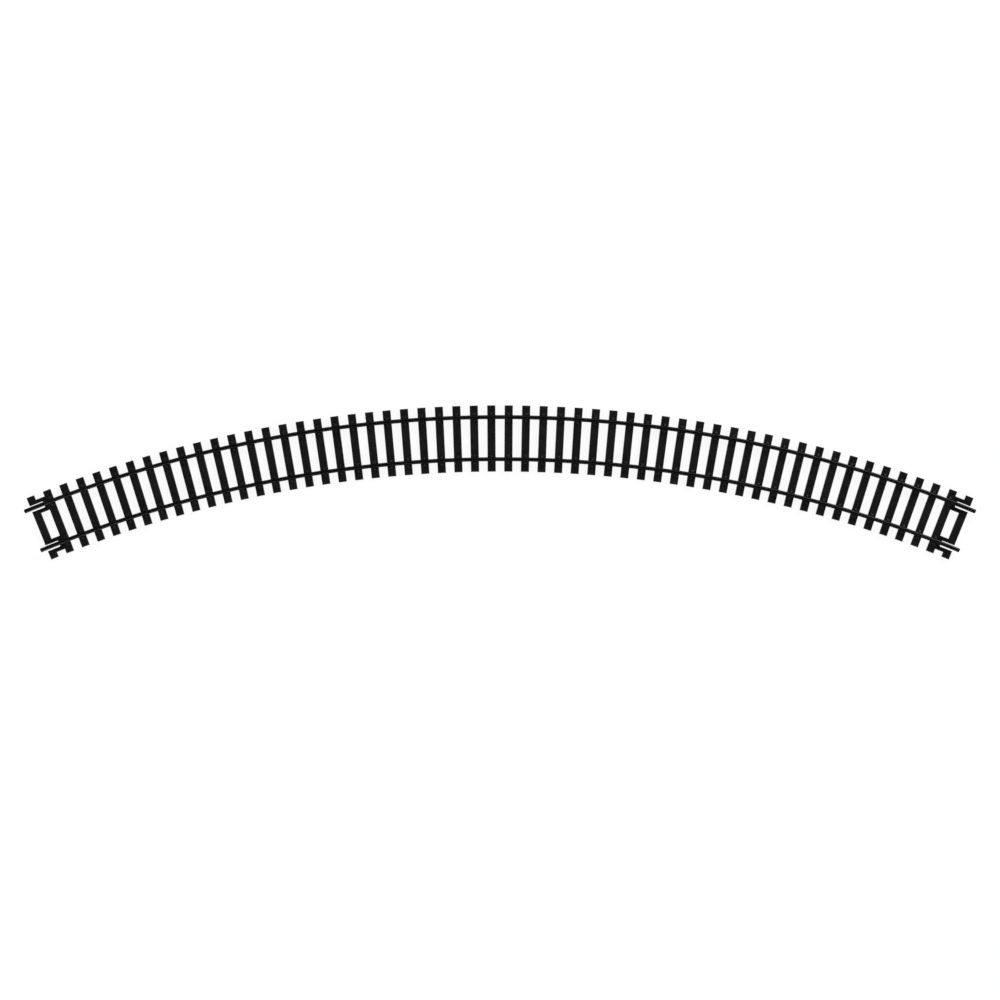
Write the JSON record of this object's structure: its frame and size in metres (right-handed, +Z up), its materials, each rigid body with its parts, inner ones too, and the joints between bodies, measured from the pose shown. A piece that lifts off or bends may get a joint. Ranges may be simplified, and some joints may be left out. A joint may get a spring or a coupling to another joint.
{
  "type": "model railway curved track section",
  "caption": "Curved section of model railway track: black one-piece sleeper base with rail joiner slots at its ends, carrying dark metal rails.",
  "frame": {"origin": "on the surface that the sleepers lie on, under the middle of the bounding box", "axes": "+X along the chord from rail end to rail end, +Y towards the outside of the curve, +Z up"},
  "size_m": [0.3938, 0.0638, 0.0046],
  "materials": {
    "black_plastic": "satin moulded black",
    "dark_rail": "blackened drawn rail"
  },
  "bodies": {
    "root": {"sleeper_base": "black_plastic", "outer_rail": "dark_rail", "inner_rail": "dark_rail"}
  },
  "joints": []
}
